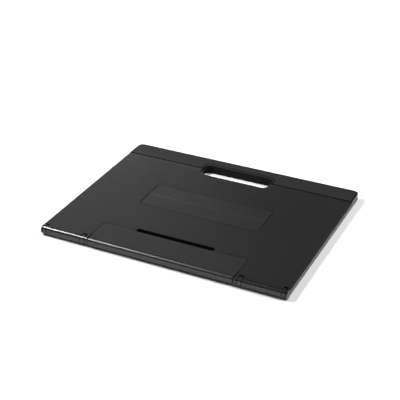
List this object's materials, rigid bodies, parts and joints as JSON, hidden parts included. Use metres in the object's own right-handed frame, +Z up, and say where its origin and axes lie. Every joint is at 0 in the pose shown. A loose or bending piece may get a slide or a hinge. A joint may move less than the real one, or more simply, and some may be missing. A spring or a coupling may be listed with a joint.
{
  "type": "laptop stand",
  "caption": "Flat folding laptop riser: a tray with a carrying handle, a front-hinged platform held up by a notched prop leg, and a front stop flap.",
  "frame": {"origin": "centre of the closed stand's footprint, on the surface it stands on", "axes": "+X to the user's right along the front hinge, +Y to the rear towards the handle, +Z up"},
  "size_m": [0.408, 0.321, 0.015],
  "materials": {
    "shell_plastic": "fine-grained satin black ABS",
    "flap_plastic": "finer, slightly lighter moulded grain",
    "cover_plastic": "satin black ABS",
    "dark_plastic": "glass-filled black nylon, matt",
    "rubber": "black rubber",
    "steel": "zinc-plated steel"
  },
  "bodies": {
    "base": {"base_tray": "shell_plastic", "rear_rail": "shell_plastic", "handle_grip": "dark_plastic", "notch_rack_left": "dark_plastic", "notch_rack_right": "dark_plastic", "end_cap_left": "shell_plastic", "end_cap_right": "shell_plastic", "hinge_pin_left": "steel", "hinge_pin_right": "steel", "rubber_foot_front_left": "rubber", "rubber_foot_front_right": "rubber", "rubber_foot_rear_left": "rubber", "rubber_foot_rear_right": "rubber", "rail_screws": "steel", "rack_screws": "steel"},
    "platform": {"platform_panel": "shell_plastic", "leg_cover": "cover_plastic", "underside_cover_left": "shell_plastic", "underside_cover_right": "shell_plastic", "leg_bearing_left": "dark_plastic", "leg_bearing_right": "dark_plastic", "leg_rod": "steel", "bearing_screws": "steel", "cover_screws": "steel"},
    "flap": {"front_flap": "flap_plastic"},
    "prop_leg": {"prop_leg": "dark_plastic", "leg_cap_left": "rubber", "leg_cap_right": "rubber"}
  },
  "joints": [
    {"name": "platform_tilt", "type": "hinge", "parent": "base", "child": "platform", "pos_m": [0, -0.1535, 0.008], "axis": [1, 0, 0], "range_deg": [0, 50]},
    {"name": "leg_swing", "type": "hinge", "parent": "platform", "child": "prop_leg", "pos_m": [0, -0.0195, 0.008], "axis": [-1, 0, 0], "range_deg": [0, 100]},
    {"name": "flap_open", "type": "hinge", "parent": "platform", "child": "flap", "pos_m": [0, -0.1535, 0.008], "axis": [1, 0, 0], "range_deg": [0, 90]}
  ],
  "couplings": [
    {"joint": "leg_swing", "follows": "platform_tilt", "ratio": 2}
  ]
}
